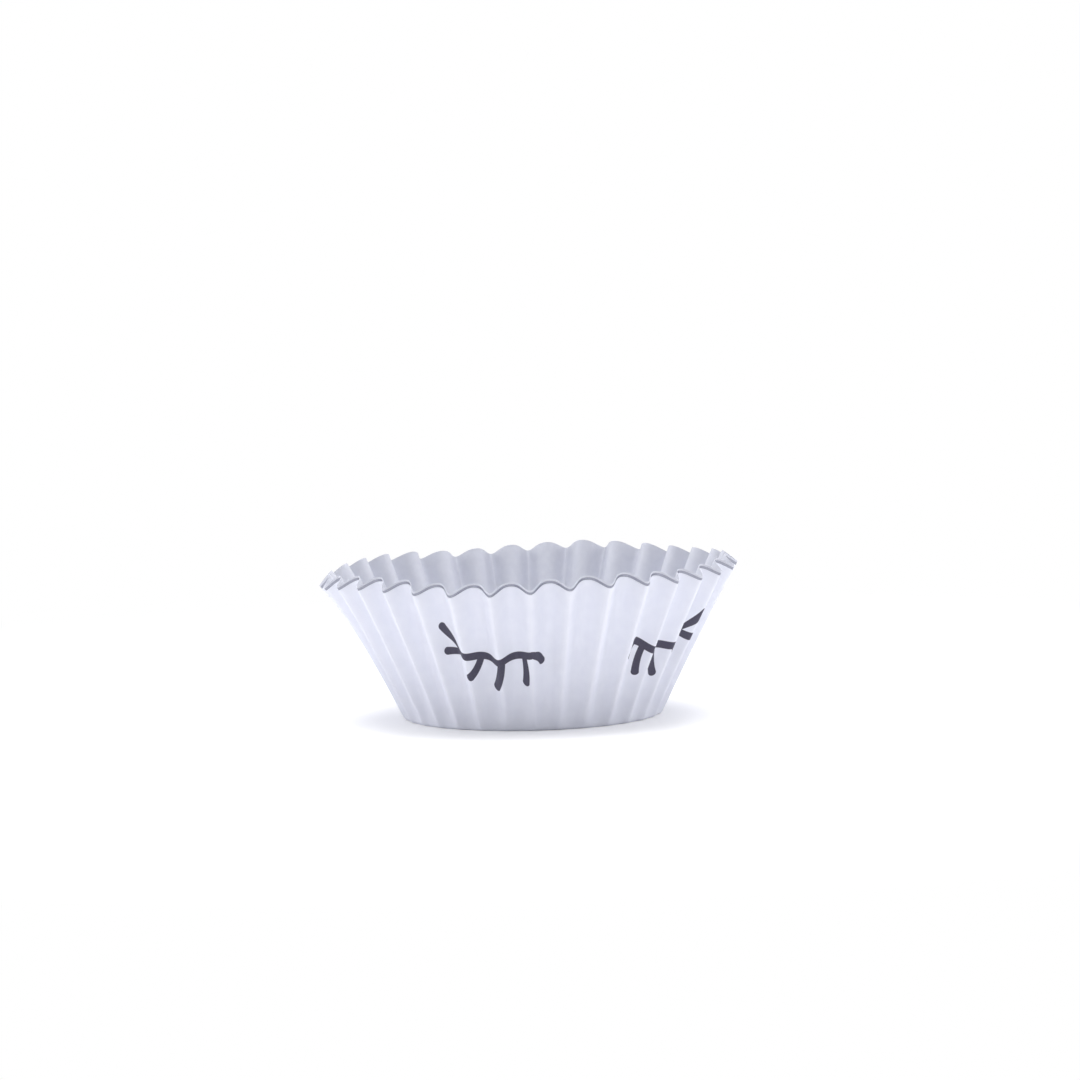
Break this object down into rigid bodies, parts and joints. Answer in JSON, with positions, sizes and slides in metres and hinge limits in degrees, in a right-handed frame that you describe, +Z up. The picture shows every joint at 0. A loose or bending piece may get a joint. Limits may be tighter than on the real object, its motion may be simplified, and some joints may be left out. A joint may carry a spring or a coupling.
{
  "type": "cupcake liner",
  "caption": "Pleated paper cup with a flat round base and a flared, zigzag-folded wall, which lines a muffin tin hollow and holds batter while it bakes.",
  "frame": {"origin": "middle of the flat underside of the base, on the surface that the liner stands on", "axes": "+Z up out of the open mouth, -Y towards the viewer of the picture, +X to the viewer's right"},
  "size_m": [0.0806, 0.0782, 0.0304],
  "materials": {
    "paper": "smooth matt white paper with a cool lavender cast, printed outside in dark grey-violet, lined with foil and greaseproof paper"
  },
  "bodies": {
    "root": {"liner": "paper"}
  },
  "joints": []
}
